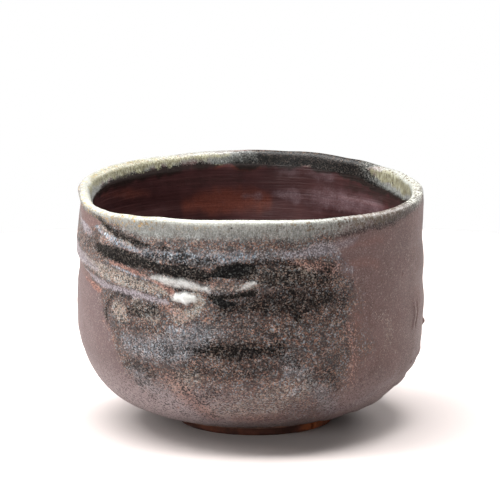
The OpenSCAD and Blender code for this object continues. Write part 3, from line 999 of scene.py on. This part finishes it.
def patch(azimuth, s, half_az, half_s, height, count):
    """Points and faces of one closed pad that stands out of the wall where `height` is above 0."""
    across = np.linspace(-1, 1, count)[None, :]
    up = np.linspace(-1, 1, count)[:, None]
    az, ss = np.broadcast_arrays(azimuth + half_az * across, s + half_s * up)
    proud = height(az, ss)
    front, masks = finished(az, ss, proud)
    back = buried(az, ss, GLAZE_T * 0.9)
    points = np.concatenate([front.reshape(-1, 3), back.reshape(-1, 3)])
    size = count * count
    edge = np.concatenate([
        np.arange(count), np.arange(1, count) * count + count - 1,
        size - 2 - np.arange(count - 1), (np.arange(count - 2)[::-1] + 1) * count,
    ])
    faces = np.concatenate([
        quads(count, count, 0, False, wrap=False),
        quads(count, count, size, True, wrap=False),
        bridge(edge, size + edge, True),
    ])
    return points, faces, masks


def build_pads(name, node, material, pads, count):
    """One piece made of pads: (azimuth, s, half width in degrees, half height, height function)."""
    points, faces, values, start = [], [], {key: [] for key in MASKS}, 0
    for azimuth, s, half_az, half_s, height in pads:
        p, f, masks = patch(azimuth, s, half_az, half_s, height, count)
        points.append(p)
        faces.append(f + start)
        for key in MASKS:
            values[key] += [masks[key].ravel(), masks[key].ravel()]
        start += len(p)
    merged = {key: np.concatenate(values[key]) for key in MASKS}
    make_piece(name, node, np.concatenate(points), np.concatenate(faces), material, merged)


def bead_height(path, proud, soft, skirt=0.8):
    """The height of a bead of glaze along a path: round on top, with a skirt that dips under the wall."""
    wide = [(az, s, half + skirt) for az, s, half in path]

    def height(azimuth, s):
        wobble = 0.35 * lattice_noise(around(azimuth, WALL_R, s), 1.9, 51)
        body = stroke_mask(azimuth, s, path, soft, wobble)
        return proud * body + 0.3 * stroke_mask(azimuth, s, wide, 0.8, wobble) - 0.22
    return height


def build_beads():
    runs = [path for _, _, path in PATTERN["white"]]
    pads = [
        (-23, 60.3, 11, 4, bead_height(runs[0], 0.3, 1.8)),
        (-22.2, 55.3, 7, 4, bead_height(runs[1], 0.8, 2.6)),
        (-1.6, 60, 5.5, 3.6, bead_height(runs[2], 0.25, 1.4)),
    ]
    build_pads("white_runs", "ash_runs", glaze_material("white_run"), pads, 90)
    pools = [path for _, _, path in PATTERN["pool"]]
    pads = [
        (-7.5, 65.2, 9, 4.4, bead_height(pools[0], 0.15, 1.4)),
        (-8.2, 54.2, 6, 4, bead_height(pools[1], 0.15, 1.4)),
    ]
    build_pads("black_pools", "iron_pools", glaze_material("black_pool"), pads, 90)


# Stones that burst through the glaze: (azimuth, s, radius at the wall, how proud).
GRITS = [
    (88, 35, 1.5, 0.8), (62, 58, 0.7, 0.3), (52, 33, 0.8, 0.3), (41, 46, 0.7, 0.3), (128, 50, 1, 0.4),
    (-155, 41, 1.2, 0.5),
]


def build_grits():
    pads = []
    for azimuth, s, radius, proud in GRITS:
        path = [(azimuth, s, radius * 0.4)]
        pads.append((azimuth, s, radius * 2.2, radius * 2.2, bead_height(path, proud, radius * 1.4)))
    build_pads("grits", "stone_grits", glaze_material("grit_skin"), pads, 30)


# ---- setting, light and camera

def floor_material():
    """A matt, faintly warm grey, which the lamps bring up to white."""
    material = bpy.data.materials.new("floor_white")
    material.use_nodes = True
    shader = material.node_tree.nodes["Principled BSDF"]
    shader.inputs["Base Color"].default_value = (0.4, 0.36, 0.348, 1)
    shader.inputs["Roughness"].default_value = 0.9
    shader.inputs["Specular IOR Level"].default_value = 0.3
    return material


def build_floor():
    """A round white table; past its edge the camera sees the white below the studio's horizon."""
    radius, count = 0.32, 160
    mesh = bpy.data.meshes.new("floor")
    turn = [TURN * k / count for k in range(count)]
    corners = [(radius * math.cos(a), radius * math.sin(a), 0) for a in turn]
    mesh.from_pydata(corners, [], [tuple(range(count))])
    mesh.materials.append(floor_material())
    floor = link(bpy.data.objects.new("floor", mesh))


def aim(thing, target):
    thing.rotation_euler = (Vector(target) - thing.location).to_track_quat("-Z", "Y").to_euler()


def area_light(name, place, target, size, watts):
    data = bpy.data.lights.new(name, "AREA")
    data.shape = "RECTANGLE"
    data.size, data.size_y = size
    data.energy = watts
    lamp = link(bpy.data.objects.new(name, data))
    lamp.location = place
    aim(lamp, target)
    lamp.visible_camera = False


def build_world():
    """White up to just above the horizon, and dim overhead, so that the softbox does the lighting."""
    world = bpy.data.worlds.new("studio")
    world.use_nodes = True
    tree = world.node_tree
    direction = tree.nodes.new("ShaderNodeTexCoord")
    split = tree.nodes.new("ShaderNodeSeparateXYZ")
    fade = tree.nodes.new("ShaderNodeMapRange")
    fade.interpolation_type = "SMOOTHSTEP"
    fade.inputs["From Min"].default_value = 0.045
    fade.inputs["From Max"].default_value = 0.16
    fade.inputs["To Min"].default_value = 1.0
    fade.inputs["To Max"].default_value = 0.22
    tree.links.new(direction.outputs["Generated"], split.inputs["Vector"])
    tree.links.new(split.outputs["Z"], fade.inputs["Value"])
    tree.links.new(fade.outputs["Result"], tree.nodes["Background"].inputs["Strength"])
    tree.nodes["Background"].inputs["Color"].default_value = (1, 1, 1, 1)
    bpy.context.scene.world = world


def build_lights():
    build_world()
    area_light("softbox", (-0.32, 0.06, 1.0), (-0.32, 0.06, 0), (1.5, 0.52), 55)
    area_light("right_back", (0.9, 0.9, 1.1), (0, 0, 0), (0.8, 0.8), 20)
    area_light("left", (-1.15, -0.1, 0.9), (0, 0, 0.04), (0.8, 0.8), 12.5)
    area_light("left_front", (-0.6, -1.15, 0.36), (0, 0, 0.04), (0.8, 0.4), 10)


def build_camera():
    """The photograph's view: from the front, 12.3 degrees above the table, with a long lens."""
    elevation, distance = math.radians(12.3), 2.2
    target = Vector((0, 0, 0.0598))
    data = bpy.data.cameras.new("camera")
    data.sensor_width = 36
    data.lens = 455.4
    data.clip_end = 20
    camera = link(bpy.data.objects.new("camera", data))
    camera.location = target + Vector((0, -math.cos(elevation), math.sin(elevation))) * distance
    aim(camera, target)
    bpy.context.scene.camera = camera
    bpy.context.scene.view_settings.view_transform = "Standard"


build_coats()
build_clay()
build_foot()
build_beads()
build_grits()
build_floor()
build_lights()
build_camera()
